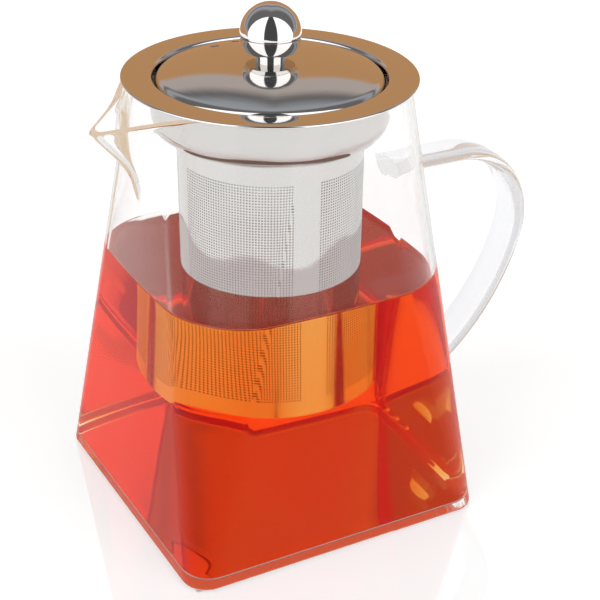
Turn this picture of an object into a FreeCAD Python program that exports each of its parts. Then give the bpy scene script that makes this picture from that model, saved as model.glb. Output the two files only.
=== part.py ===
import FreeCAD, Part
import math
import os

# Glass teapot with a lift-out steel infuser and a loose steel lid.
# Millimetres, +Z up. The origin is the middle of the flat underside of the pot.
# The spout points along -X, the handle along +X, and the square sides face X and Y.

os.makedirs("parts", exist_ok=True)

V = FreeCAD.Vector

# Glass pot: a square base that grows into a round mouth
BASE_SIDE = 105.0
BASE_CORNER_R = 8.5
BASE_EDGE_R = 1.5
RIM_R = 42.5
RIM_Z = 141.8
RIM_FLAT_ANGLE = 14.0
WALL = 2.2
FLOOR = 2.8

# Pulled spout: a V lip that slopes down from the rim to its tip
SPOUT_REACH = 59.1
SPOUT_DROP = 8.6
SPOUT_DEPTH = 25.4
SPOUT_ROOT_ANGLE = 36.0
SPOUT_TIP_R = 4.0
SPOUT_WALL = 1.7
SPOUT_END_SHARE = 0.1

# Handle: a flattened glass ribbon fused to the +X side
HANDLE_WIDTH = 14.0
HANDLE_THICK = 4.6
HANDLE_EDGE_R = 2.0
HANDLE_TOP_Z = 105.2
HANDLE_TOP_RUN = 23.0
HANDLE_BEND_R = 26.7
HANDLE_BEND_TURN = 105.0
HANDLE_BACK_R = 81.0
HANDLE_BACK_TURN = 34.0

# Tea in the pot
TEA_LEVEL = 81.6
TEA_GLASS_GAP = 0.2
TEA_INFUSER_GAP = 0.3

# Infuser: pressed collar, perforated sleeve and pressed floor
COLLAR_SHEET = 0.8
FLANGE_R = 45.0
CUP_R = 36.4
CUP_DEPTH = 18.3
CUP_LIP_R = 1.1
THROAT_LENGTH = 5.0
SLEEVE_R = 28.8
SLEEVE_SHEET = 0.5
SLEEVE_BOTTOM_Z = 42.1
SLEEVE_TOP_BAND = 6.8
SLEEVE_LOW_BAND = 5.5
FLOOR_SHEET = 0.5
FLOOR_RIM = 4.0
WELD_FIT = 0.05

# Drain holes: a coarse grid in four panels with plain strips between them
HOLE_D = 1.6
HOLE_PITCH = 4.0
PANEL_COUNT = 4
PLAIN_STRIP_ANGLE = 16.4
PLAIN_STRIP_TURN = -5.0
FLOOR_RING_STEP = 6

# Lid: a domed cover whose skirt drops into the cup
LID_SHEET = 0.7
LID_GAP = 0.8
LID_CROWN_RISE = 4.7
LID_DOME_R = 83.0
LID_SHOULDER_R = 3.0
LID_CROWN_FLAT_R = 6.0
LID_SEAT_GAP = 0.3
VENT_D = 2.8
VENT_RING_R = 23.2
VENT_ANGLES = (91.0, 110.5)

# Knob: a ball on a short neck, held by one screw from under the lid
KNOB_R = 9.3
KNOB_FLAT_R = 7.6
NECK_R = 4.5
NECK_HEIGHT = 2.3
SCREW_D = 4.0
SCREW_REACH = 9.0
SCREW_FIT = 0.05
SCREW_HOLE_GAP = 0.2
SCREW_TIP_GAP = 0.5
SCREW_HEAD_R = 3.6
SCREW_HEAD_HEIGHT = 2.4
SCREW_SLOT_WIDTH = 0.9
SCREW_SLOT_DEPTH = 1.1
WASHER_R = 4.6
WASHER_SHEET = 0.8

# Heights and radii that follow from the sizes above
FLANGE_TOP_Z = RIM_Z + COLLAR_SHEET
THROAT_Z = FLANGE_TOP_Z - CUP_DEPTH
SLEEVE_INNER_R = SLEEVE_R - SLEEVE_SHEET
CUP_CORNER_R = CUP_R - SLEEVE_R
CUP_CORNER_Z = THROAT_Z + CUP_CORNER_R
LID_R = CUP_R - COLLAR_SHEET - LID_GAP
LID_CROWN_Z = FLANGE_TOP_Z + LID_CROWN_RISE
KNOB_FLAT_Z = LID_CROWN_Z + NECK_HEIGHT
SCREW_R = SCREW_D / 2
TALL = 4 * RIM_Z

# Heights below this count as lying on the ground
FLAT_LIMIT = 0.01


def polar(radius, degrees, z):
    """A point on a circle about the Z axis."""
    turn = math.radians(degrees)
    return V(radius * math.cos(turn), radius * math.sin(turn), z)


def arc(start, middle, end):
    """A circular edge through three points."""
    return Part.Arc(start, middle, end).toShape()


def line(start, end):
    """A straight edge."""
    return Part.LineSegment(start, end).toShape()


def turned(edges):
    """A solid of revolution about Z from a closed profile in the XZ plane."""
    face = Part.Face(Part.Wire(edges))
    return face.revolve(V(0, 0, 0), V(0, 0, 1), 360)


def half_width(z):
    """Half the pot's width across its flat sides at a height."""
    return BASE_SIDE / 2 + (RIM_R - BASE_SIDE / 2) * z / RIM_Z


def corner_radius(z):
    """The radius of the pot's upright corners at a height."""
    return BASE_CORNER_R + (RIM_R - BASE_CORNER_R) * z / RIM_Z


def square_wire(z, inset):
    """A rounded square: four sides and four corner arcs, starting at the +X side."""
    side = half_width(z) - inset
    radius = corner_radius(z) - inset
    flat = side - radius
    bulge = flat + radius * math.sqrt(0.5)
    edges = []
    for quarter in range(4):
        place = FreeCAD.Placement(V(0, 0, z), FreeCAD.Rotation(V(0, 0, 1), 90 * quarter))
        points = [V(side, -flat, 0), V(side, flat, 0), V(bulge, bulge, 0), V(flat, side, 0)]
        low, high, middle, end = [place.multVec(point) for point in points]
        edges.append(line(low, high))
        edges.append(arc(high, middle, end))
    return Part.Wire(edges)


def round_wire(z, inset):
    """The round mouth, cut into eight arcs that pair with the rounded square's edges."""
    radius = RIM_R - inset
    edges = []
    for quarter in range(4):
        turn = 90 * quarter
        low, high, end = turn - RIM_FLAT_ANGLE, turn + RIM_FLAT_ANGLE, turn + 90 - RIM_FLAT_ANGLE
        edges.append(arc(polar(radius, low, z), polar(radius, turn, z), polar(radius, high, z)))
        edges.append(arc(polar(radius, high, z), polar(radius, turn + 45, z), polar(radius, end, z)))
    return Part.Wire(edges)


def pot_block(bottom, inset):
    """The pot's filled form from a height up to the rim, drawn in by an inset."""
    return Part.makeLoft([square_wire(bottom, inset), round_wire(RIM_Z, inset)], True, True)


def spout_block(shift):
    """The filled spout: a beak that narrows down to a point inside the pot, moved along +X."""
    root_z = RIM_Z - SPOUT_DEPTH
    root_x = -half_width(root_z)
    tip_z = RIM_Z - SPOUT_DROP
    slope = (root_x + SPOUT_REACH) / (tip_z - root_z)
    mouth = polar(RIM_R, 180 - SPOUT_ROOT_ANGLE, RIM_Z)
    nose_x = -SPOUT_REACH - slope * SPOUT_DROP
    point_z = root_z - (mouth.x - root_x) / slope
    point = V(mouth.x, 0, point_z)

    # The beak's plan at the rim: two straight sides that meet in a rounded nose.
    # It shrinks towards the point and ends, inside the pot, at a small share of its size.
    half_angle = math.atan2(mouth.y, mouth.x - nose_x)
    centre_x = nose_x + SPOUT_TIP_R
    touch = V(centre_x - SPOUT_TIP_R * math.sin(half_angle), SPOUT_TIP_R * math.cos(half_angle), RIM_Z)
    corners = [mouth, touch, V(nose_x, 0, RIM_Z), V(touch.x, -touch.y, RIM_Z), V(mouth.x, -mouth.y, RIM_Z)]
    wires = []
    for share in (1.0, SPOUT_END_SHARE):
        left, start, nose, end, right = [point + (corner - point) * share for corner in corners]
        wires.append(Part.Wire([line(left, start), arc(start, nose, end), line(end, right), line(right, left)]))
    beak = Part.makeLoft(wires, True, True)
    beak.translate(V(shift, 0, 0))
    return beak


def lip_wedge():
    """What is cleared above the sloping lip of the spout."""
    mouth = polar(RIM_R, 180 - SPOUT_ROOT_ANGLE, RIM_Z)
    slope = SPOUT_DROP / (SPOUT_REACH + mouth.x)
    far_x = -2 * SPOUT_REACH
    outline = [
        V(mouth.x, -RIM_R, RIM_Z),
        V(far_x, -RIM_R, RIM_Z - slope * (mouth.x - far_x)),
        V(far_x, -RIM_R, 2 * RIM_Z),
        V(mouth.x, -RIM_R, 2 * RIM_Z),
    ]
    face = Part.Face(Part.makePolygon(outline + outline[:1]))
    return face.extrude(V(0, 2 * RIM_R, 0))


def outer_pot():
    """The pot's outer form, filled, with its soft lower edge and spout."""
    block = pot_block(0, 0)
    lower = [edge for edge in block.Edges if edge.BoundBox.ZMax < FLAT_LIMIT]
    return block.makeFillet(BASE_EDGE_R, lower)


def glass_body():
    """The blown pot with its pulled spout."""
    outer = outer_pot().fuse(spout_block(0))
    thin = spout_block(SPOUT_WALL * math.sqrt(2))
    return outer.cut([pot_block(FLOOR, WALL), thin, lip_wedge()]).removeSplitter()


def handle_path():
    """The handle's centreline, from inside the upper wall to inside the lower wall."""
    start = V(half_width(HANDLE_TOP_Z) - HANDLE_TOP_RUN, 0, HANDLE_TOP_Z)
    bend = V(half_width(HANDLE_TOP_Z) + HANDLE_TOP_RUN, 0, HANDLE_TOP_Z)

    def swing(origin, radius, before, turn):
        """The points at the middle and end of an arc that turns down and back."""
        first = math.radians(before)
        centre = origin - V(math.sin(first), 0, math.cos(first)) * radius
        points = []
        for share in (0.5, 1.0):
            angle = first + math.radians(turn) * share
            points.append(centre + V(math.sin(angle), 0, math.cos(angle)) * radius)
        return points

    middle, turn_end = swing(bend, HANDLE_BEND_R, 0, HANDLE_BEND_TURN)
    back_middle, back_end = swing(turn_end, HANDLE_BACK_R, HANDLE_BEND_TURN, HANDLE_BACK_TURN)
    heading = math.radians(HANDLE_BEND_TURN + HANDLE_BACK_TURN)
    ahead = V(math.cos(heading), 0, -math.sin(heading))

    # The last run goes on until it is a wall's depth inside the pot
    slope = (RIM_R - BASE_SIDE / 2) / RIM_Z
    run = (back_end.x - half_width(back_end.z)) / (slope * ahead.z - ahead.x)
    finish = back_end + ahead * (run + HANDLE_WIDTH)
    return Part.Wire([
        line(start, bend),
        arc(bend, middle, turn_end),
        arc(turn_end, back_middle, back_end),
        line(back_end, finish),
    ]), start


def glass_handle():
    """The ribbon handle, trimmed to the outside of the pot."""
    path, start = handle_path()
    corner = V(start.x, -HANDLE_WIDTH / 2, start.z - HANDLE_THICK / 2)
    blank = Part.makeBox(HANDLE_WIDTH, HANDLE_WIDTH, HANDLE_THICK, corner)
    long_edges = [edge for edge in blank.Edges if edge.BoundBox.XLength > HANDLE_THICK]
    rounded = blank.makeFillet(HANDLE_EDGE_R, long_edges)
    face = min(rounded.Faces, key=lambda each: each.CenterOfMass.x)
    ribbon = path.makePipeShell([face.OuterWire], True, False)
    ribbon = ribbon.cut(outer_pot())
    return max(ribbon.Solids, key=lambda solid: solid.Volume)


def brewed_tea():
    """The tea round the infuser, with a straight well that lets the infuser lift out."""
    tea = pot_block(FLOOR + TEA_GLASS_GAP, WALL + TEA_GLASS_GAP)
    above = Part.makeBox(2 * BASE_SIDE, 2 * BASE_SIDE, TALL, V(-BASE_SIDE, -BASE_SIDE, TEA_LEVEL))
    well = Part.makeCylinder(SLEEVE_R + TEA_INFUSER_GAP, TALL, V(0, 0, SLEEVE_BOTTOM_Z - TEA_INFUSER_GAP))
    return tea.cut([above, well])


def infuser_collar():
    """The flange that sits on the rim, the cup that takes the lid, and the throat below it."""
    sheet = COLLAR_SHEET
    throat_r = SLEEVE_INNER_R - WELD_FIT
    centre = V(SLEEVE_R, 0, CUP_CORNER_Z)
    corner_r = CUP_CORNER_R
    half = math.sqrt(0.5)

    def on_corner(radius, across, down):
        """A point on the cup's rounded lower corner."""
        return centre + V(radius * across, 0, -radius * down)

    lip = CUP_LIP_R
    lip_in = CUP_LIP_R - sheet
    lip_centre = V(CUP_R + lip_in, 0, FLANGE_TOP_Z - lip)
    top_in = V(CUP_R - sheet, 0, FLANGE_TOP_Z - lip)
    top_out = V(CUP_R, 0, FLANGE_TOP_Z - lip)
    flange_in = lip_centre + V(0, 0, lip)
    under_in = lip_centre + V(0, 0, lip_in)
    edges = [
        line(flange_in, V(FLANGE_R, 0, FLANGE_TOP_Z)),
        line(V(FLANGE_R, 0, FLANGE_TOP_Z), V(FLANGE_R, 0, RIM_Z)),
        line(V(FLANGE_R, 0, RIM_Z), under_in),
        arc(under_in, lip_centre + V(-lip_in * half, 0, lip_in * half), top_out),
        line(top_out, on_corner(corner_r, 1, 0)),
        arc(on_corner(corner_r, 1, 0), on_corner(corner_r, half, half), on_corner(corner_r, 0, 1)),
        line(on_corner(corner_r, 0, 1), V(throat_r, 0, THROAT_Z)),
        line(V(throat_r, 0, THROAT_Z), V(throat_r, 0, THROAT_Z - THROAT_LENGTH)),
        line(V(throat_r, 0, THROAT_Z - THROAT_LENGTH), V(throat_r - sheet, 0, THROAT_Z - THROAT_LENGTH)),
        line(V(throat_r - sheet, 0, THROAT_Z - THROAT_LENGTH), V(throat_r - sheet, 0, THROAT_Z + sheet)),
        line(V(throat_r - sheet, 0, THROAT_Z + sheet), on_corner(corner_r - sheet, 0, 1)),
        arc(on_corner(corner_r - sheet, 0, 1), on_corner(corner_r - sheet, half, half),
            on_corner(corner_r - sheet, 1, 0)),
        line(on_corner(corner_r - sheet, 1, 0), top_in),
        arc(top_in, lip_centre + V(-lip * half, 0, lip * half), flange_in),
    ]
    return turned(edges)


def ring(outer, inner, low, high):
    """A plain tube about Z between two heights."""
    tube = Part.makeCylinder(outer, high - low, V(0, 0, low))
    return tube.cut(Part.makeCylinder(inner, high - low, V(0, 0, low)))


def infuser_sleeve():
    """The perforated tube under the collar."""
    tube = ring(SLEEVE_R, SLEEVE_INNER_R, SLEEVE_BOTTOM_Z, THROAT_Z)
    panel = 360 / PANEL_COUNT - PLAIN_STRIP_ANGLE
    step = math.degrees(HOLE_PITCH / SLEEVE_R)
    columns = int(panel / step) + 1
    low = SLEEVE_BOTTOM_Z + SLEEVE_LOW_BAND + HOLE_D / 2
    high = THROAT_Z - SLEEVE_TOP_BAND - HOLE_D / 2
    rows = int((high - low) / HOLE_PITCH) + 1
    first_z = (low + high - (rows - 1) * HOLE_PITCH) / 2
    drills = []
    for side in range(PANEL_COUNT):
        middle = PLAIN_STRIP_TURN + 360 / PANEL_COUNT * (side + 0.5)
        for column in range(columns):
            turn = middle + step * (column - (columns - 1) / 2)
            out = polar(1, turn, 0)
            for row in range(rows):
                start = polar(SLEEVE_INNER_R - SLEEVE_SHEET, turn, first_z + HOLE_PITCH * row)
                drills.append(Part.makeCylinder(HOLE_D / 2, 3 * SLEEVE_SHEET, start, out))
    return tube.cut(Part.makeCompound(drills))


def infuser_base():
    """The pressed floor of the infuser, its upturned rim welded inside the sleeve."""
    outer = SLEEVE_INNER_R - WELD_FIT
    floor = Part.makeCylinder(outer, FLOOR_RIM, V(0, 0, SLEEVE_BOTTOM_Z))
    floor = floor.cut(Part.makeCylinder(outer - FLOOR_SHEET, FLOOR_RIM, V(0, 0, SLEEVE_BOTTOM_Z + FLOOR_SHEET)))
    drills = []
    rings = int((outer - FLOOR_SHEET - HOLE_PITCH) / HOLE_PITCH)
    for number in range(1, rings + 1):
        radius = HOLE_PITCH * number
        holes = FLOOR_RING_STEP * number
        for index in range(holes):
            start = polar(radius, 360 * index / holes, SLEEVE_BOTTOM_Z - FLOOR_SHEET)
            drills.append(Part.makeCylinder(HOLE_D / 2, 3 * FLOOR_SHEET, start))
    return floor.cut(Part.makeCompound(drills))


def lid_seat_z():
    """The height at which the lid's skirt meets the rounded bottom of the cup."""
    reach = LID_R - SLEEVE_R
    inner = CUP_CORNER_R - COLLAR_SHEET
    return CUP_CORNER_Z - math.sqrt(inner ** 2 - reach ** 2)


def lid_shell():
    """The domed cover with its rounded shoulder, straight skirt, vents and screw hole."""
    low = lid_seat_z() + LID_SEAT_GAP
    dome = V(LID_CROWN_FLAT_R, 0, LID_CROWN_Z - LID_DOME_R)
    reach = LID_R - LID_SHOULDER_R - dome.x
    span = LID_DOME_R - LID_SHOULDER_R
    shoulder = dome + V(reach, 0, math.sqrt(span ** 2 - reach ** 2))
    tilt = math.asin(reach / span)

    def points(offset):
        """The skirt top, the shoulder's middle and end, and the dome's middle and top."""
        def on(centre, radius, angle):
            """A point on one of the shell's two round parts, by its angle from upright."""
            return centre + V(math.sin(angle), 0, math.cos(angle)) * (radius - offset)
        shoulder_top = on(shoulder, LID_SHOULDER_R, tilt)
        shoulder_middle = on(shoulder, LID_SHOULDER_R, (tilt + math.pi / 2) / 2)
        skirt_top = on(shoulder, LID_SHOULDER_R, math.pi / 2)
        return (skirt_top, shoulder_middle, shoulder_top,
                on(dome, LID_DOME_R, tilt / 2), on(dome, LID_DOME_R, 0))

    skirt, side, top, rise, crown = points(0)
    skirt_in, side_in, top_in, rise_in, crown_in = points(LID_SHEET)
    hole_r = SCREW_R + SCREW_HOLE_GAP
    edges = [
        line(V(LID_R, 0, low), skirt),
        arc(skirt, side, top),
        arc(top, rise, crown),
        line(crown, V(hole_r, 0, crown.z)),
        line(V(hole_r, 0, crown.z), V(hole_r, 0, crown_in.z)),
        line(V(hole_r, 0, crown_in.z), crown_in),
        arc(crown_in, rise_in, top_in),
        arc(top_in, side_in, skirt_in),
        line(skirt_in, V(skirt_in.x, 0, low)),
        line(V(skirt_in.x, 0, low), V(LID_R, 0, low)),
    ]
    vents = []
    for turn in VENT_ANGLES:
        vents.append(Part.makeCylinder(VENT_D / 2, LID_DOME_R, polar(VENT_RING_R, turn, low)))
    return turned(edges).cut(vents)


def lid_knob():
    """The ball, with a flat seat and a blind screw hole underneath."""
    centre_z = KNOB_FLAT_Z + math.sqrt(KNOB_R ** 2 - KNOB_FLAT_R ** 2)
    ball = Part.makeSphere(KNOB_R, V(0, 0, centre_z))
    below = Part.makeCylinder(KNOB_R, 2 * KNOB_R, V(0, 0, KNOB_FLAT_Z - 2 * KNOB_R))
    hole = Part.makeCylinder(SCREW_R + SCREW_FIT, SCREW_REACH + SCREW_TIP_GAP, V(0, 0, KNOB_FLAT_Z))
    return ball.cut([below, hole])


def knob_neck():
    """The short turned spacer between the lid and the ball."""
    return ring(NECK_R, SCREW_R + SCREW_HOLE_GAP, LID_CROWN_Z, KNOB_FLAT_Z)


def knob_washer():
    """The washer under the lid's crown."""
    high = LID_CROWN_Z - LID_SHEET
    return ring(WASHER_R, SCREW_R + SCREW_HOLE_GAP, high - WASHER_SHEET, high)


def knob_screw():
    """The slotted screw that pulls the ball down onto the lid."""
    seat = LID_CROWN_Z - LID_SHEET - WASHER_SHEET
    shank = Part.makeCylinder(SCREW_R, KNOB_FLAT_Z + SCREW_REACH - seat, V(0, 0, seat))
    head = Part.makeCylinder(SCREW_HEAD_R, SCREW_HEAD_HEIGHT, V(0, 0, seat - SCREW_HEAD_HEIGHT))
    corner = V(-SCREW_HEAD_R, -SCREW_SLOT_WIDTH / 2, seat - SCREW_HEAD_HEIGHT)
    slot = Part.makeBox(2 * SCREW_HEAD_R, SCREW_SLOT_WIDTH, SCREW_SLOT_DEPTH, corner)
    return shank.fuse(head).cut(slot).removeSplitter()


PIECES = {
    "glass_body": glass_body,
    "glass_handle": glass_handle,
    "brewed_tea": brewed_tea,
    "infuser_collar": infuser_collar,
    "infuser_sleeve": infuser_sleeve,
    "infuser_base": infuser_base,
    "lid_shell": lid_shell,
    "lid_knob": lid_knob,
    "knob_neck": knob_neck,
    "knob_washer": knob_washer,
    "knob_screw": knob_screw,
}

for name, make in PIECES.items():
    shape = make()
    shape.exportStep(f"parts/{name}.step")
    box = shape.BoundBox
    print(f"{name}: solids {len(shape.Solids)}, valid {shape.isValid()}, volume {shape.Volume:.0f} mm3, "
          f"x {box.XMin:.1f} {box.XMax:.1f}, y {box.YMin:.1f} {box.YMax:.1f}, z {box.ZMin:.1f} {box.ZMax:.1f}")
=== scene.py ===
"""Glass teapot with a lift-out steel infuser: the looks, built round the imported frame."""

from __future__ import annotations

import logging
import math
from dataclasses import dataclass, replace
from enum import Enum, IntEnum

import bpy
import numpy as np
from mathutils import Matrix, Vector

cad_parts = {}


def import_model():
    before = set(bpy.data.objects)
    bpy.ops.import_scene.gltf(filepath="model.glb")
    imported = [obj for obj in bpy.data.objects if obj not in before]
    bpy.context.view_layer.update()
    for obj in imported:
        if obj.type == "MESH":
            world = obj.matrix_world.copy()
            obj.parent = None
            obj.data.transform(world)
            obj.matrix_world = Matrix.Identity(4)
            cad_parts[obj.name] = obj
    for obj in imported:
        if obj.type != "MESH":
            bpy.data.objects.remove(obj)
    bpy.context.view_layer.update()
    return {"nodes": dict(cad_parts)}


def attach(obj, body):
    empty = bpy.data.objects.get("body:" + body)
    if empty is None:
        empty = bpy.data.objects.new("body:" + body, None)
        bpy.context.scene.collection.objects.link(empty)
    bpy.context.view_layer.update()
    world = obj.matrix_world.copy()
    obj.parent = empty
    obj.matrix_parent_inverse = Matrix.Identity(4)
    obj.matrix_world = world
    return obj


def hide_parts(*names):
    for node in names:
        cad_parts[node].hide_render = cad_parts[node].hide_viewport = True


LOG = logging.getLogger("glass_teapot")
MM = 0.001
SHARP_DEGREES = 35.0
GLASS_SHARP_DEGREES = 60.0
TEA_SHARP_DEGREES = 50.0
SAME_POINT_MM = 1e-4
TINY = 1e-6
WHITE = (1.0, 1.0, 1.0, 1.0)
BLACK = (0.0, 0.0, 0.0, 1.0)
Colour = tuple[float, float, float, float]
Face = tuple[int, ...]
Ring = np.ndarray
Material = bpy.types.Material
Piece = bpy.types.Object
Socket = bpy.types.NodeSocket


class Body(str, Enum):
    """The three rigid bodies of the teapot."""

    POT = "pot"
    INFUSER = "infuser"
    LID = "lid"


class Slot(str, Enum):
    """The record's material slots."""

    GLASS = "clear_glass"
    TEA = "tea"
    POLISHED = "polished_steel"
    SATIN = "satin_steel"


class GlassSide(IntEnum):
    """The places of the pot's further finishes among its materials."""

    BACKED = 1
    WET = 2
    UNDER = 3


def smoothstep(low: float, high: float, value: np.ndarray) -> np.ndarray:
    """Rises smoothly from 0 to 1 between two values.

    Args:
        low: Where the rise starts.
        high: Where the rise ends.
        value: The values to ease.

    Returns:
        The eased share of each value.
    """
    share = np.clip((value - low) / (high - low), 0.0, 1.0)
    return share * share * (3.0 - 2.0 * share)


def smooth_max(first: np.ndarray, second: np.ndarray, width: np.ndarray) -> np.ndarray:
    """The larger of two values, with a soft fillet where they cross.

    Args:
        first: One set of values.
        second: The other set of values.
        width: How wide the fillet is.

    Returns:
        The blended larger values.
    """
    near = np.clip(1.0 - np.abs(first - second) / np.maximum(width, TINY), 0.0, 1.0)
    return np.maximum(first, second) + near * near * width / 4.0


def mesh_piece(
    name: str, points: np.ndarray, faces: list[Face], sharp_degrees: float = SHARP_DEGREES,
) -> Piece:
    """Makes a smooth mesh object with sharp edges kept sharp.

    Args:
        name: The piece's name.
        points: Corner positions in metres.
        faces: Corner numbers of each face.
        sharp_degrees: Edges that turn by more than this stay sharp.

    Returns:
        The new object, linked to the scene.
    """
    mesh = bpy.data.meshes.new(name)
    mesh.from_pydata([tuple(point) for point in points], [], faces)
    mesh.validate()
    mesh.shade_smooth()
    mesh.set_sharp_from_angle(angle=math.radians(sharp_degrees))
    piece = bpy.data.objects.new(name, mesh)
    bpy.context.scene.collection.objects.link(piece)
    return piece


def closed_tube(rings: list[Ring], low_pole: Vector, high_pole: Vector) -> tuple[np.ndarray, list[Face]]:
    """Skins a stack of rings and closes both ends at a pole.

    Args:
        rings: Rings of points, counter-clockwise from above, from the first pole to the last.
        low_pole: The point that closes the first ring.
        high_pole: The point that closes the last ring.

    Returns:
        The points and the faces of a closed mesh.
    """
    count = len(rings[0])
    points = np.vstack([np.array([low_pole]), *rings, np.array([high_pole])])
    last = len(points) - 1
    faces: list[Face] = []
    for index in range(count):
        after = (index + 1) % count
        faces.append((0, 1 + after, 1 + index))
        for level in range(len(rings) - 1):
            low = 1 + level * count
            high = low + count
            faces.append((low + index, low + after, high + after, high + index))
        top = 1 + (len(rings) - 1) * count
        faces.append((last, top + index, top + after))
    return points, faces


class Profile:
    """A polyline in the XZ half plane, made of straight runs and arcs, in millimetres."""

    def __init__(self, x: float, z: float) -> None:
        """Starts the profile at a point."""
        self.points: list[tuple[float, float]] = [(x, z)]

    def to(self, x: float, z: float) -> "Profile":
        """Adds a straight run to a point."""
        self.points.append((x, z))
        return self

    def arc(self, x: float, z: float, radius: float, start: float, end: float, steps: int) -> "Profile":
        """Adds an arc about a centre.

        Args:
            x: The centre's distance from the axis.
            z: The centre's height.
            radius: The arc's radius.
            start: The first angle in degrees, 0 pointing out and 90 up.
            end: The last angle in degrees.
            steps: How many runs stand for the arc.

        Returns:
            The profile itself.
        """
        for step in range(steps + 1):
            angle = math.radians(start + (end - start) * step / steps)
            self.points.append((x + radius * math.cos(angle), z + radius * math.sin(angle)))
        return self

    def distinct(self) -> list[tuple[float, float]]:
        """The points without repeats."""
        kept = [self.points[0]]
        for point in self.points[1:]:
            if math.dist(point, kept[-1]) > SAME_POINT_MM:
                kept.append(point)
        if math.dist(kept[0], kept[-1]) < SAME_POINT_MM:
            kept.pop()
        return kept


def turned_piece(name: str, profile: Profile, steps: int) -> Piece:
    """Turns a closed profile about the Z axis.

    Args:
        name: The piece's name.
        profile: A closed outline, counter-clockwise with X to the right and Z up.
        steps: How many facets go round.

    Returns:
        The turned object. Profile points on the axis become single poles.
    """
    outline = profile.distinct()
    on_axis = [abs(x) < TINY for x, _ in outline]
    points: list[tuple[float, float, float]] = []
    starts: list[int] = []
    for (x, z), pole in zip(outline, on_axis):
        starts.append(len(points))
        for step in range(1 if pole else steps):
            turn = 2.0 * math.pi * step / steps
            points.append((x * math.cos(turn) * MM, x * math.sin(turn) * MM, z * MM))
    faces: list[Face] = []
    for index, start in enumerate(starts):
        after = (index + 1) % len(starts)
        if on_axis[index] and on_axis[after]:
            continue
        for step in range(steps):
            turn = (step + 1) % steps
            low = (start, start) if on_axis[index] else (start + step, start + turn)
            high = (starts[after],) * 2 if on_axis[after] else (starts[after] + step, starts[after] + turn)
            corners = [low[0], low[1], high[1], high[0]]
            faces.append(tuple(dict.fromkeys(corners)))
    return mesh_piece(name, np.array(points), faces)


@dataclass
class NodeTree:
    """A thin helper over one shader or geometry node tree."""

    tree: bpy.types.NodeTree

    def add(self, kind: str, settings: dict[str, object] | None = None, **inputs: object) -> bpy.types.Node:
        """Adds a node and fills its inputs.

        Args:
            kind: The node's type name.
            settings: Properties of the node itself.
            **inputs: Sockets by name, with underscores for spaces: a value, or a socket to link from.

        Returns:
            The new node.
        """
        node = self.tree.nodes.new(kind)
        for key, value in (settings or {}).items():
            setattr(node, key, value)
        for key, value in inputs.items():
            self.feed(node.inputs[key.replace("_", " ")], value)
        return node

    def feed(self, socket: Socket, value: object) -> None:
        """Links a socket, or sets its value.

        Args:
            socket: The input to fill.
            value: An output socket or a plain value.
        """
        if isinstance(value, Socket):
            self.tree.links.new(value, socket)
        else:
            socket.default_value = value

    def maths(self, operation: str, first: object, second: object = 0.0, third: object = 0.0) -> Socket:
        """Adds a Math node.

        Args:
            operation: The node's operation name.
            first: The first value or socket.
            second: The second value or socket.
            third: The third value or socket.

        Returns:
            The result's socket.
        """
        node = self.tree.nodes.new("ShaderNodeMath")
        node.operation = operation
        for socket, value in zip(node.inputs, (first, second, third)):
            self.feed(socket, value)
        return node.outputs[0]

    def times(self, first: object, second: object) -> Socket:
        """Multiplies two values."""
        return self.maths("MULTIPLY", first, second)

    def plus(self, first: object, second: object) -> Socket:
        """Adds two values."""
        return self.maths("ADD", first, second)

    def minus(self, first: object, second: object) -> Socket:
        """Takes the second value from the first."""
        return self.maths("SUBTRACT", first, second)

    def at_least(self, count: Socket, least: int) -> Socket:
        """Gives 1 where a whole number is at least so large, and otherwise 0."""
        return self.maths("GREATER_THAN", count, least - 0.5)

    def light(self, colour: object) -> Socket:
        """Adds an Emission shader that shows a colour as it is."""
        return self.add("ShaderNodeEmission", Color=colour, Strength=1.0).outputs[0]

    def tint(self, share: object, first: object, second: object) -> Socket:
        """Mixes two colours.

        Args:
            share: How much of the second colour shows.
            first: The first colour.
            second: The second colour.

        Returns:
            The mixed colour's socket.
        """
        node = self.tree.nodes.new("ShaderNodeMix")
        node.data_type = "RGBA"
        for name, value in (("Factor_Float", share), ("A_Color", first), ("B_Color", second)):
            self.feed(next(socket for socket in node.inputs if socket.identifier == name), value)
        return next(socket for socket in node.outputs if socket.identifier == "Result_Color")

    def shade(self, share: object, first: Socket, second: Socket) -> Socket:
        """Mixes two shaders.

        Args:
            share: How much of the second shader shows.
            first: The first shader.
            second: The second shader.

        Returns:
            The mixed shader's socket.
        """
        node = self.tree.nodes.new("ShaderNodeMixShader")
        for socket, value in zip(node.inputs, (share, first, second)):
            self.feed(socket, value)
        return node.outputs[0]


def new_material(name: str) -> tuple[Material, NodeTree]:
    """Makes an empty node material.

    Args:
        name: The material's name.

    Returns:
        The material and its emptied tree.
    """
    material = bpy.data.materials.new(name)
    material.use_nodes = True
    material.node_tree.nodes.clear()
    return material, NodeTree(material.node_tree)


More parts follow.
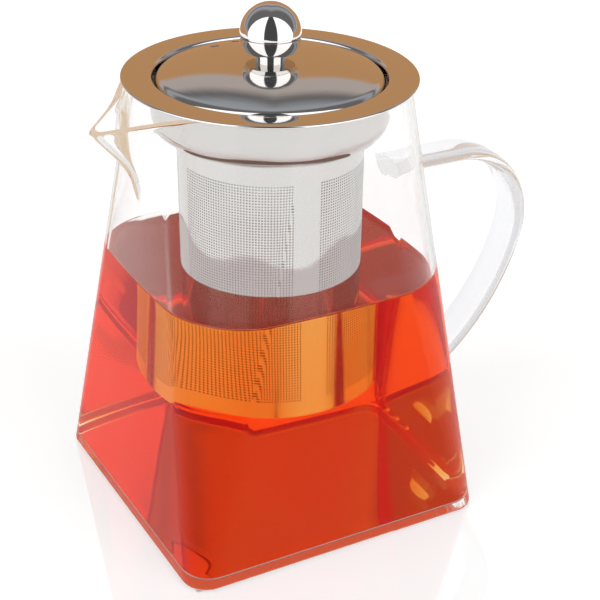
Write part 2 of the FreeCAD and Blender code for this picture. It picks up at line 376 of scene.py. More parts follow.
def grain_group() -> bpy.types.NodeTree:
    """Builds the shared group of polishing marks and smudges for metal.

    Returns:
        A group with Scale, Stretch, Smooth and Rough inputs, and Roughness and Height outputs.
    """
    group = bpy.data.node_groups.new("metal_grain", "ShaderNodeTree")
    face = group.interface
    for name, value in (("Scale", 1.0), ("Stretch", 20.0), ("Smooth", 0.05), ("Rough", 0.12)):
        face.new_socket(name, in_out="INPUT", socket_type="NodeSocketFloat").default_value = value
    face.new_socket("Roughness", in_out="OUTPUT", socket_type="NodeSocketFloat")
    face.new_socket("Height", in_out="OUTPUT", socket_type="NodeSocketFloat")
    nodes = NodeTree(group)
    given = nodes.add("NodeGroupInput").outputs
    place = nodes.add("ShaderNodeTexCoord").outputs["Object"]
    parts = nodes.add("ShaderNodeSeparateXYZ", Vector=place).outputs

    # Marks that run round the axis: rings of radius and height, drawn out along the turn
    mean_radius, fine_share = 0.03, 0.6
    squares = [nodes.times(parts[axis], parts[axis]) for axis in ("X", "Y")]
    radius = nodes.maths("SQRT", nodes.plus(*squares))
    turn = nodes.maths("ARCTAN2", parts["Y"], parts["X"])
    round_way = nodes.maths("DIVIDE", nodes.times(turn, mean_radius), given["Stretch"])
    ring = nodes.add("ShaderNodeCombineXYZ", X=radius, Y=round_way, Z=parts["Z"]).outputs[0]
    fine = nodes.add("ShaderNodeTexNoise", Vector=ring, Scale=given["Scale"], Detail=2.0).outputs["Fac"]
    smudge = nodes.add("ShaderNodeTexNoise", Vector=place, Scale=70.0, Detail=3.0, Roughness=0.6)
    both = nodes.plus(nodes.times(fine, fine_share), nodes.times(smudge.outputs["Fac"], 1.0 - fine_share))
    rough = nodes.add("ShaderNodeMapRange", {"clamp": True}, Value=both, From_Min=0.3, From_Max=0.7,
                      To_Min=given["Smooth"], To_Max=given["Rough"]).outputs[0]
    out = nodes.add("NodeGroupOutput")
    nodes.feed(out.inputs["Roughness"], rough)
    nodes.feed(out.inputs["Height"], fine)
    return group


@dataclass(frozen=True)
class SteelFinish:
    """A bare steel surface with turning or brushing marks.

    Attributes:
        name: The material's name.
        colour: The steel's colour.
        smooth: The roughness where the marks are faintest.
        rough: The roughness where they are strongest.
        scale: How fine the marks are.
        stretch: How far they are drawn out round the axis.
        bump: How strongly they stand out.
        depth: How deep they are, in metres.
    """

    name: str
    colour: Colour
    smooth: float
    rough: float
    scale: float
    stretch: float
    bump: float
    depth: float = 0.0001

    def material(self, grain: bpy.types.NodeTree) -> Material:
        """Builds the material.

        Args:
            grain: The shared group of polishing marks.

        Returns:
            The finished material.
        """
        material, nodes = new_material(self.name)
        marks = nodes.add("ShaderNodeGroup", {"node_tree": grain}, Scale=self.scale, Stretch=self.stretch,
                          Smooth=self.smooth, Rough=self.rough).outputs
        bump = nodes.add("ShaderNodeBump", Strength=self.bump, Distance=self.depth, Height=marks["Height"])
        steel = nodes.add("ShaderNodeBsdfPrincipled", Base_Color=self.colour, Metallic=1.0,
                          Roughness=marks["Roughness"], Normal=bump.outputs[0])
        nodes.add("ShaderNodeOutputMaterial", Surface=steel.outputs[0])
        return material


@dataclass(frozen=True)
class ClearFinish:
    """A clear body that bends light, passes it on to what it shades, and may soak up colour.

    Attributes:
        name: The material's name.
        tint: What each crossing of the surface leaves of the light.
        glance: The tint of what the surface mirrors.
        painted_glow: A painted light, an emission colour, that stands in for rays which stay trapped in the
            body.
        trapped_after: How many turns a ray makes before it counts as trapped.
        ior: How strongly the body bends light.
        wave: How much the surface ripples.
        far_painted_glow: The painted glow for rays that came through another clear body.
        soak: What the body leaves of white light.
        density: How quickly the body soaks light up, per metre.
        painted_reflection: A painted reflection, the emission colours that steel's rough mirror shows of the
            body close by and farther off.
        painted_beyond: A painted pale light, an emission colour, shown in place of the outside seen through
            another clear body.
        plain: The share of the outside that bends light and mirrors none.
        ripple_scale: How close together the ripples are.
        ripple_depth: How deep the ripples are, in metres.
        painted_reflection_near: Where the painted reflection starts to change from its close colour to its
            far one, in metres.
        painted_reflection_far: Where it ends.
    """

    name: str
    tint: Colour
    glance: Colour
    painted_glow: Colour
    trapped_after: int
    ior: float = 1.5
    wave: float = 0.02
    far_painted_glow: Colour | None = None
    soak: Colour | None = None
    density: float = 0.0
    painted_reflection: tuple[Colour, Colour] | None = None
    painted_beyond: Colour | None = None
    plain: float = 0.0
    ripple_scale: float = 45.0
    ripple_depth: float = 0.001
    painted_reflection_near: float = 0.038
    painted_reflection_far: float = 0.046

    def surface(self, nodes: NodeTree, outer: Socket) -> Socket:
        """Builds the rippled surface that bends and mirrors light.

        Args:
            nodes: The material's tree.
            outer: 1 where the outside is seen, and otherwise 0.

        Returns:
            The surface's shader.
        """
        place = nodes.add("ShaderNodeTexCoord").outputs["Object"]
        ripple = nodes.add("ShaderNodeTexNoise", Vector=place, Scale=self.ripple_scale, Detail=1.0)
        bump = nodes.add("ShaderNodeBump", Strength=self.wave, Distance=self.ripple_depth,
                         Height=ripple.outputs["Fac"]).outputs[0]
        clear = nodes.add("ShaderNodeBsdfPrincipled", Base_Color=self.tint, Roughness=0.0, IOR=self.ior,
                          Transmission_Weight=1.0, Specular_Tint=self.glance, Normal=bump).outputs[0]
        if self.plain == 0.0:
            return clear
        bent = nodes.add("ShaderNodeBsdfRefraction", Color=self.tint, Roughness=0.0, IOR=self.ior,
                         Normal=bump).outputs[0]
        return nodes.shade(nodes.times(outer, self.plain), clear, bent)

    def material(self) -> Material:
        """Builds the material.

        Returns:
            The finished material, with absorption inside where the body has a colour.
        """
        material, nodes = new_material(self.name)
        path = nodes.add("ShaderNodeLightPath").outputs
        outer = nodes.minus(1.0, nodes.add("ShaderNodeNewGeometry").outputs["Backfacing"])
        lit = nodes.add("ShaderNodeBsdfTransparent", Color=self.tint).outputs[0]
        seen = nodes.shade(path["Is Shadow Ray"], self.surface(nodes, outer), lit)
        # Rough mirror rays from steel that meet the body end on a painted reflection: an emission colour,
        # light close by and dark farther off
        if self.painted_reflection is not None:
            far = nodes.add("ShaderNodeMapRange", Value=path["Ray Length"], From_Min=self.painted_reflection_near,
                            From_Max=self.painted_reflection_far).outputs[0]
            metal = nodes.minus(path["Is Glossy Ray"], path["Is Singular Ray"])
            in_steel = nodes.at_least(nodes.times(metal, outer), 1)
            seen = nodes.shade(in_steel, seen, nodes.light(nodes.tint(far, *self.painted_reflection)))
        # Outer faces seen through another clear body show a painted pale light, an emission colour, instead
        # of the outside
        if self.painted_beyond is not None:
            bent = nodes.times(path["Transmission Depth"], outer)
            seen = nodes.shade(nodes.at_least(bent, 2), seen, nodes.light(self.painted_beyond))
        # Rays that stay trapped end on a painted glow: an emission colour that stands in for the light they
        # would bring out
        painted_glow: object = self.painted_glow
        if self.far_painted_glow is not None:
            painted_glow = nodes.tint(nodes.at_least(path["Transmission Depth"], 3), self.painted_glow, self.far_painted_glow)
        trapped = nodes.at_least(path["Ray Depth"], self.trapped_after)
        out = nodes.add("ShaderNodeOutputMaterial", Surface=nodes.shade(trapped, seen, nodes.light(painted_glow)))
        if self.soak is not None:
            soaked = nodes.add("ShaderNodeVolumeAbsorption", Color=self.soak, Density=self.density)
            nodes.feed(out.inputs["Volume"], soaked.outputs[0])
        return material


@dataclass(frozen=True)
class Finishes:
    """Every finish of the teapot."""

    glass: Material
    handle: Material
    backed_glass: Material
    wet_glass: Material
    under_glass: Material
    tea: Material
    polished: Material
    satin: Material
    ball: Material

    @classmethod
    def build(cls) -> "Finishes":
        """Builds all materials once."""
        grain = grain_group()
        clear = (0.99, 0.993, 0.992, 1.0)
        ribbon = (0.87, 0.88, 0.90, 1.0)
        faint = (0.3, 0.3, 0.3, 1.0)
        # Painted glow of the handle: tan highlights along its edges
        painted_handle_tan = (0.67, 0.49, 0.34, 1.0)
        # Painted glow of the clear glass: a gold emission that shows as highlights along its edges
        painted_edge_gold = (0.72, 0.56, 0.40, 1.0)
        # Painted pale light that the glass round the tea shows where the outside is seen through other glass
        painted_pale = (0.86, 0.80, 0.75, 1.0)
        # Painted glow of the handle for rays that came through other glass: a pale mist
        painted_far_mist = (0.95, 0.945, 0.94, 1.0)
        # Painted glow of the tea and of the glass round it: a deep red emission for rays that stay trapped
        painted_deep_red = (0.62, 0.09, 0.04, 1.0)
        amber = (0.985, 0.625, 0.03, 1.0)
        glass = ClearFinish("clear_glass", clear, faint, painted_edge_gold, trapped_after=6)
        under = replace(glass, name="under_glass", painted_glow=painted_deep_red, trapped_after=19)
        tea = ClearFinish(
            "red_tea", WHITE, BLACK, painted_deep_red, trapped_after=19, ior=1.333, wave=0.0, soak=amber, density=72.0,
            # A painted reflection of the tea in steel: light grey close by, dark brown farther off
            painted_reflection=((0.62, 0.56, 0.56, 1.0), (0.17, 0.10, 0.075, 1.0)),
        )
        polished = SteelFinish(
            "mirror_steel", (0.80, 0.785, 0.77, 1.0),
            smooth=0.045, rough=0.09, scale=900.0, stretch=30.0, bump=0.05,
        )
        satin = SteelFinish(
            "satin_steel", (0.83, 0.815, 0.80, 1.0),
            smooth=0.09, rough=0.16, scale=2500.0, stretch=12.0, bump=0.02,
        )
        ball = SteelFinish(
            "ball_steel", (0.82, 0.81, 0.80, 1.0),
            smooth=0.04, rough=0.055, scale=700.0, stretch=30.0, bump=0.02,
        )
        return cls(
            glass=glass.material(),
            handle=replace(glass, name="handle_glass", tint=ribbon, painted_glow=painted_handle_tan, far_painted_glow=painted_far_mist).material(),
            backed_glass=replace(under, name="backed_glass", painted_beyond=painted_pale, plain=0.3).material(),
            wet_glass=replace(under, name="wet_glass", glance=BLACK).material(),
            under_glass=under.material(),
            tea=tea.material(),
            polished=polished.material(grain),
            satin=satin.material(grain),
            ball=ball.material(grain),
        )


def fit(piece: Piece, material: Material, body: Body, slot: Slot, *nodes: str) -> None:
    """Dresses a finished piece and ties it to the frame.

    Args:
        piece: The finished mesh object.
        material: Its material.
        body: The body that it moves with.
        slot: The record's slot for the piece; it is not used.
        *nodes: The CAD nodes that it stands for.
    """
    piece.data.materials.clear()
    piece.data.materials.append(material)
    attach(piece, body.value)
    if nodes:
        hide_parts(*nodes)
    LOG.info("piece %s on %s: %d faces", piece.name, body.value, len(piece.data.polygons))


@dataclass
class GlassPot:
    """The blown pot: a square base that grows into a round mouth, with a pulled spout. Millimetres."""

    base_side: float = 105.0
    base_corner_r: float = 8.5
    base_edge_r: float = 1.5
    rim_r: float = 42.5
    rim_z: float = 141.8
    rim_flat_angle: float = 14.0
    wall: float = 2.2
    floor: float = 2.8
    inner_edge_r: float = 1.2
    lip_round: float = 0.8
    spout_reach: float = 59.1
    spout_drop: float = 8.6
    spout_depth: float = 25.4
    spout_root_angle: float = 36.0
    spout_tip_r: float = 4.0
    spout_wall: float = 1.7
    spout_blend: float = 8.0
    spout_nose_round: float = 3.0
    spout_ahead: float = 1.25
    spout_fade: float = 0.75
    spout_least: float = 0.02
    spout_tip_share: float = 0.4
    spout_tip_limit: float = 0.7
    spout_lean_limit: float = 0.98
    spout_rings_z: float = 96.0
    lip_follow: float = 0.6
    lip_rounds: int = 16
    tea_level: float = 81.6
    meniscus: float = 1.2
    meniscus_reach: float = 3.0
    tea_overlap: float = 0.15
    level_normal: float = 0.5
    flat_steps: int = 36
    corner_steps: int = 28
    edge_steps: int = 8
    low_rings: int = 26
    high_rings: int = 34
    tea_rings: int = 20
    floor_shares: tuple[float, ...] = (0.75, 0.5, 0.25)
    surface_shares: tuple[float, ...] = (0.8, 0.6, 0.4, 0.2)

    def half_width(self, z: float) -> float:
        """Half the pot's width across its flat sides at a height."""
        return self.base_side / 2 + (self.rim_r - self.base_side / 2) * z / self.rim_z

    def outline(self, z: np.ndarray, inset: float) -> np.ndarray:
        """Points round the plain body, without the spout.

        Args:
            z: One height for each point round the pot.
            inset: How far the outline is drawn in from the outer wall.

        Returns:
            X and Y of each point.
        """
        side = self.base_side / 2 - inset
        flat = self.base_side / 2 - self.base_corner_r
        corner = self.base_corner_r - inset
        low, high = [], []
        for quarter in range(4):
            for step in range(self.flat_steps):
                share = 2.0 * step / self.flat_steps - 1.0
                low.append((quarter, side, flat * share))
                high.append(90.0 * quarter + self.rim_flat_angle * share)
            for step in range(self.corner_steps):
                turn = math.pi / 2 * step / self.corner_steps
                low.append((quarter, flat + corner * math.cos(turn), flat + corner * math.sin(turn)))
                sweep = 90.0 - 2.0 * self.rim_flat_angle
                high.append(90.0 * quarter + self.rim_flat_angle + sweep * step / self.corner_steps)
        turns = np.radians([90.0 * quarter for quarter, _, _ in low])
        along = np.array([x for _, x, _ in low])
        across = np.array([y for _, _, y in low])
        square = np.column_stack([
            along * np.cos(turns) - across * np.sin(turns),
            along * np.sin(turns) + across * np.cos(turns),
        ])
        mouth = np.radians(high)
        circle = (self.rim_r - inset) * np.column_stack([np.cos(mouth), np.sin(mouth)])
        share = (z / self.rim_z)[:, None]
        return square * (1.0 - share) + circle * share

    def spout_lines(self) -> tuple[float, float, float, float]:
        """The spout's main places: mouth X and Y, nose X at the rim, and the height of its lowest point."""
        turn = math.radians(180.0 - self.spout_root_angle)
        mouth_x, mouth_y = self.rim_r * math.cos(turn), self.rim_r * math.sin(turn)
        root_z = self.rim_z - self.spout_depth
        root_x = -self.half_width(root_z)
        slope = (root_x + self.spout_reach) / (self.spout_depth - self.spout_drop)
        nose_x = -self.spout_reach - slope * self.spout_drop
        return mouth_x, mouth_y, nose_x, root_z - (mouth_x - root_x) / slope

    def beak_reach(self, turn: np.ndarray, z: np.ndarray) -> np.ndarray:
        """How far the spout reaches from the axis: a V in plan, with a rounded nose, that shrinks downwards.

        Args:
            turn: Directions, in radians from the spout's centreline.
            z: The height in each direction.

        Returns:
            The reach in each direction, in millimetres, and 0 behind the spout.
        """
        mouth_x, mouth_y, nose_x, point_z = self.spout_lines()
        grow = np.clip((z - point_z) / (self.rim_z - point_z), self.spout_least, None)
        half_y = mouth_y * grow
        nose = mouth_x + (nose_x - mouth_x) * grow
        farthest = np.full_like(nose, -self.spout_reach)
        nose = smooth_max(nose, farthest, np.full_like(nose, self.spout_nose_round))
        tip_share = self.spout_tip_share + (1.0 - self.spout_tip_share) * grow
        radius = np.minimum(self.spout_tip_r * tip_share, self.spout_tip_limit * half_y)

        # The nose's circle, and the straight side that touches it from the open end of the V
        centre = -(nose + radius)
        run = mouth_x + centre
        sine = np.clip(radius / np.hypot(half_y, run), 0.0, self.spout_lean_limit)
        lean = np.arctan2(half_y, run) - np.arcsin(sine)
        side = np.sin(lean) * np.cos(turn) + np.cos(lean) * np.sin(np.abs(turn))
        reach = (np.sin(lean) * centre + radius) / np.maximum(side, TINY)
        along = centre * np.cos(turn)
        inside = np.maximum(along ** 2 - centre ** 2 + radius ** 2, 0.0)
        touch = centre + radius * np.sin(lean)
        reach = np.where(reach * np.cos(turn) > touch, along + np.sqrt(inside), reach)
        ahead = np.abs(turn) < self.spout_ahead * math.radians(self.spout_root_angle)
        return np.where(ahead, reach, 0.0)

    def lip_height(self, turn: np.ndarray, shift: float) -> np.ndarray:
        """The height of the rim or lip in each direction.

        Args:
            turn: Directions, in radians from the spout's centreline.
            shift: How far the surface is moved in from the outside of the spout.

        Returns:
            The rim's height, lower along the spout.
        """
        mouth_x = self.spout_lines()[0]
        fall = self.spout_drop / (self.spout_reach + mouth_x)
        z = np.full_like(turn, self.rim_z)
        for _ in range(self.lip_rounds):
            past = self.beak_reach(turn, z) * np.cos(turn) - shift + mouth_x
            z = (z + self.rim_z - fall * np.maximum(past, 0.0)) / 2
        return z

    def wall_ring(self, z_plain: float, inset: float, shift: float, drop: float = 0.0) -> Ring:
        """One ring of the wall, with the spout drawn out of it.

        Args:
            z_plain: The ring's height where there is no spout.
            inset: How far the wall is drawn in.
            shift: How far the spout's surface is moved in along X.
            drop: How far the ring's top is lowered to leave room for the rounded lip.

        Returns:
            The ring's points in millimetres.
        """
        count = 4 * (self.flat_steps + self.corner_steps)
        z = np.full(count, z_plain)
        flat = self.outline(z, inset)
        turn = np.arctan2(flat[:, 1], -flat[:, 0])
        share = float(smoothstep(self.lip_follow, 1.0, np.array(z_plain / self.rim_z)))
        z = z - share * (self.rim_z - self.lip_height(turn, shift)) - drop
        flat = self.outline(z, inset)
        turn = np.arctan2(flat[:, 1], -flat[:, 0])
        radius = np.hypot(flat[:, 0], flat[:, 1])
        beak = self.beak_reach(turn, z)
        beak = np.where(beak > 0.0, beak - shift * np.cos(turn), 0.0)
        reach = math.radians(self.spout_root_angle)
        fade = 1.0 - smoothstep(self.spout_fade * reach, self.spout_ahead * reach, np.abs(turn))
        drawn = smooth_max(radius, beak, self.spout_blend * fade)
        scale = (drawn / radius)[:, None]
        return np.column_stack([flat * scale, z])

    def rings(self) -> list[Ring]:
        """The rings of the whole pot, from the middle of its underside over the lip to its floor."""
        low = self.wall_ring(0.0, self.base_edge_r, 0.0)
        rows = [low * np.array([share, share, 1.0]) for share in self.floor_shares[::-1]]
        for step in range(self.edge_steps + 1):
            turn = math.pi / 2 * step / self.edge_steps
            inset = self.base_edge_r * (1.0 - math.sin(turn))
            rows.append(self.wall_ring(self.base_edge_r * (1.0 - math.cos(turn)), inset, 0.0))
        heights = np.concatenate([
            np.linspace(self.base_edge_r, self.spout_rings_z, self.low_rings)[1:],
            np.linspace(self.spout_rings_z, self.rim_z, self.high_rings)[1:],
        ])
        shift = self.spout_wall * math.sqrt(2.0)
        for z in heights[:-1]:
            rows.append(self.wall_ring(z, 0.0, 0.0))
        outer = self.wall_ring(self.rim_z, 0.0, 0.0)
        inner = self.wall_ring(self.rim_z, self.wall, shift)
        for step in range(self.edge_steps + 1):
            turn = math.pi * step / self.edge_steps
            share = (1.0 - math.cos(turn)) / 2
            ring = outer * (1.0 - share) + inner * share
            ring[:, 2] += self.lip_round * (math.sin(turn) - 1.0)
            rows.append(ring)
        for z in heights[::-1][1:]:
            if z > self.floor + self.inner_edge_r:
                rows.append(self.wall_ring(z, self.wall, shift))
        return rows + self.floor_rings(0.0)

    def floor_rings(self, grow: float) -> list[Ring]:
        """The rounded inner edge and the inner floor, from the wall to the middle.

        Args:
            grow: How far the surface is moved out into the glass.

        Returns:
            Rings from the wall down and in.
        """
        rows: list[Ring] = []
        radius = self.inner_edge_r
        for step in range(self.edge_steps + 1):
            turn = math.pi / 2 * step / self.edge_steps
            inset = self.wall - grow + radius * (1.0 - math.cos(turn))
            rows.append(self.wall_ring(self.floor - grow + radius * (1.0 - math.sin(turn)), inset, 0.0))
        edge = rows[-1]
        return rows + [edge * np.array([share, share, 1.0]) for share in self.floor_shares]

    def build_glass(self) -> Piece:
        """Makes the closed glass wall."""
        rows = self.rings()
        low = Vector((0.0, 0.0, 0.0))
        high = Vector((0.0, 0.0, self.floor))
        points, faces = closed_tube(rows, low, high)
        return mesh_piece("pot_glass", points * MM, faces, GLASS_SHARP_DEGREES)

    def back_with_tea(self, pot: Piece, finishes: Finishes) -> None:
        """Gives the glass round the tea its own finishes, with hardly a mirror where the tea wets it.

        Args:
            pot: The finished glass, already dressed.
            finishes: The finishes of the outer wall, the wetted inside and the underside.
        """
        for material in (finishes.backed_glass, finishes.wet_glass, finishes.under_glass):
            pot.data.materials.append(material)
        top = (self.tea_level + self.meniscus) * MM
        for face in pot.data.polygons:
            if face.center.z >= top:
                continue
            inwards = face.normal.x * face.center.x + face.normal.y * face.center.y < 0.0
            if inwards or face.normal.z > self.level_normal:
                face.material_index = GlassSide.WET
            elif face.normal.z < -self.level_normal:
                face.material_index = GlassSide.UNDER
            else:
                face.material_index = GlassSide.BACKED

    def build_tea(self) -> Piece:
        """Makes the tea, a hair into the glass so that no air shows between them."""
        grow = self.tea_overlap
        rows = self.floor_rings(grow)[::-1]
        for z in np.linspace(self.floor + self.inner_edge_r, self.tea_level, self.tea_rings)[1:]:
            rows.append(self.wall_ring(z, self.wall - grow, 0.0))
        inner = self.wall_ring(self.tea_level, self.wall - grow, 0.0)
        edge = np.hypot(inner[:, 0], inner[:, 1])
        for share in (1.0, *self.surface_shares, 0.0):
            scale = 1.0 - (1.0 - share) * self.meniscus_reach / edge
            ring = inner * np.column_stack([scale, scale, np.ones_like(scale)])
            ring[:, 2] += self.meniscus * share ** 3
            rows.append(ring)
        rows += [inner * np.array([share, share, 1.0]) for share in self.surface_shares]
        low = Vector((0.0, 0.0, self.floor - grow))
        high = Vector((0.0, 0.0, self.tea_level))
        points, faces = closed_tube(rows, low, high)
        return mesh_piece("tea_fill", points * MM, faces, TEA_SHARP_DEGREES)


@dataclass
class RibbonHandle:
    """The flattened glass ribbon on the +X side. Millimetres."""

    pot: GlassPot
    width: float = 14.0
    thick: float = 4.6
    top_z: float = 105.2
    top_run: float = 23.0
    bend_r: float = 26.7
    bend_turn: float = 105.0
    back_r: float = 81.0
    back_turn: float = 34.0
    sink: float = 0.6
    foot_reach: float = 7.0
    foot_swell: float = 0.35
    foot_spread: float = 0.4
    edge_power: float = 0.62
    face_power: float = 0.75
    section_steps: int = 48
    foot_steps: int = 24
    bend_steps: int = 40

    def centreline(self) -> list[tuple[Vector, Vector]]:
        """Points along the ribbon, each with its heading."""
        start_x = self.pot.half_width(self.top_z)
        points = []
        for step in range(self.foot_steps + 1):
            x = start_x - self.sink + (self.top_run + self.sink) * step / self.foot_steps
            points.append((Vector((x, 0.0, self.top_z)), Vector((1.0, 0.0, 0.0))))
        before = 0.0
        for radius, turn in ((self.bend_r, self.bend_turn), (self.back_r, self.back_turn)):
            origin = points[-1][0]
            first = math.radians(before)
            centre = origin - Vector((math.sin(first), 0.0, math.cos(first))) * radius
            for step in range(1, self.bend_steps + 1):
                angle = first + math.radians(turn) * step / self.bend_steps
                spot = centre + Vector((math.sin(angle), 0.0, math.cos(angle))) * radius
                points.append((spot, Vector((math.cos(angle), 0.0, -math.sin(angle)))))
            before += turn
        origin, ahead = points[-1]
        slope = (self.pot.rim_r - self.pot.base_side / 2) / self.pot.rim_z
        run = (origin.x - self.pot.half_width(origin.z)) / (slope * ahead.z - ahead.x) + self.sink
        for step in range(1, self.foot_steps + 1):
            points.append((origin + ahead * run * step / self.foot_steps, ahead))
        return points

    def section(self, swell: float) -> list[tuple[float, float]]:
        """The ribbon's cross section: across and through, a flattened rounded oblong."""
        half_width = self.width / 2 * (1.0 + self.foot_spread * swell)
        half_thick = self.thick / 2 * (1.0 + swell)
        corners = []
        for step in range(self.section_steps):
            turn = 2.0 * math.pi * step / self.section_steps
            across = math.copysign(abs(math.cos(turn)) ** self.edge_power, math.cos(turn))
            through = math.copysign(abs(math.sin(turn)) ** self.face_power, math.sin(turn))
            corners.append((across * half_width, through * half_thick))
        return corners

    def build(self) -> Piece:
        """Makes the closed ribbon with swollen, fused feet."""
        line = self.centreline()
        length = [0.0]
        for (one, _), (two, _) in zip(line, line[1:]):
            length.append(length[-1] + (two - one).length)
        rows = []
        side = Vector((0.0, 1.0, 0.0))
        for (spot, ahead), done in zip(line, length):
            near = min(done, length[-1] - done)
            swell = self.foot_swell * max(0.0, 1.0 - near / self.foot_reach) ** 2
            out = Vector((-ahead.z, 0.0, ahead.x))
            ring = [spot + side * across + out * through for across, through in self.section(swell)]
            rows.append(np.array([tuple(point) for point in ring]))
        points, faces = closed_tube(rows, line[0][0], line[-1][0])
        return mesh_piece("handle_glass", points * MM, faces, GLASS_SHARP_DEGREES)


def perforated_tree() -> bpy.types.NodeTree:
    """Builds the geometry nodes that lay hole cells on a grid and roll it into a quarter of a tube.

    Returns:
        A tree with inputs for the grid, the plain borders, the cells, the tube and the material.
    """
    tree = bpy.data.node_groups.new("perforated_sleeve", "GeometryNodeTree")
    face = tree.interface
    face.new_socket("Geometry", in_out="OUTPUT", socket_type="NodeSocketGeometry")
    sockets = {
        "NodeSocketInt": ("Columns", "Rows", "Plain Columns", "Top Rows", "Low Rows"),
        "NodeSocketFloat": ("Pitch Across", "Pitch Up", "Radius", "Start Angle", "Bottom", "Merge"),
        "NodeSocketObject": ("Hole Cell", "Plain Cell"),
        "NodeSocketMaterial": ("Material",),
    }
    for kind, names in sockets.items():
        for name in names:
            face.new_socket(name, in_out="INPUT", socket_type=kind)
    nodes = NodeTree(tree)
    given = nodes.add("NodeGroupInput").outputs

    # One point for each cell, numbered by column and row
    count = nodes.times(given["Columns"], given["Rows"])
    cells = nodes.add("GeometryNodePoints", Count=count).outputs[0]
    index = nodes.add("GeometryNodeInputIndex").outputs[0]
    column = nodes.maths("FLOORED_MODULO", index, given["Columns"])
    row = nodes.maths("FLOOR", nodes.maths("DIVIDE", index, given["Columns"]))
    across = nodes.times(column, given["Pitch Across"])
    up = nodes.times(row, given["Pitch Up"])
    spot = nodes.add("ShaderNodeCombineXYZ", X=across, Y=0.0, Z=up).outputs[0]
    laid = nodes.add("GeometryNodeSetPosition", Geometry=cells, Position=spot).outputs[0]

    # Holes everywhere but in the plain strip and the plain bands
    half = 0.5
    past_strip = nodes.maths("GREATER_THAN", column, nodes.minus(given["Plain Columns"], half))
    above_low = nodes.maths("GREATER_THAN", row, nodes.minus(given["Low Rows"], half))
    top_row = nodes.minus(nodes.minus(given["Rows"], given["Top Rows"]), half)
    below_top = nodes.maths("LESS_THAN", row, top_row)
    holed = nodes.times(nodes.times(past_strip, above_low), below_top)
    plain = nodes.minus(1.0, holed)
    joined = nodes.add("GeometryNodeJoinGeometry")
    for cell, chosen in (("Hole Cell", holed), ("Plain Cell", plain)):
        shape = nodes.add("GeometryNodeObjectInfo", Object=given[cell]).outputs["Geometry"]
        copies = nodes.add("GeometryNodeInstanceOnPoints", Points=laid, Selection=chosen, Instance=shape)
        tree.links.new(copies.outputs[0], joined.inputs[0])
    real = nodes.add("GeometryNodeRealizeInstances", Geometry=joined.outputs[0]).outputs[0]
    merged = nodes.add("GeometryNodeMergeByDistance", Geometry=real, Distance=given["Merge"]).outputs[0]

    # Roll the flat sheet: X becomes the turn and Y the depth
    place = nodes.add("GeometryNodeInputPosition").outputs[0]
    parts = nodes.add("ShaderNodeSeparateXYZ", Vector=place).outputs
    turn = nodes.plus(nodes.maths("DIVIDE", parts["X"], given["Radius"]), given["Start Angle"])
    reach = nodes.plus(given["Radius"], parts["Y"])
    rolled = nodes.add(
        "ShaderNodeCombineXYZ",
        X=nodes.times(reach, nodes.maths("COSINE", turn)),
        Y=nodes.times(reach, nodes.maths("SINE", turn)),
        Z=nodes.plus(parts["Z"], given["Bottom"]),
    ).outputs[0]
    tube = nodes.add("GeometryNodeSetPosition", Geometry=merged, Position=rolled).outputs[0]
    dressed = nodes.add("GeometryNodeSetMaterial", Geometry=tube, Material=given["Material"]).outputs[0]
    out = nodes.add("NodeGroupOutput")
    nodes.feed(out.inputs["Geometry"], dressed)
    return tree


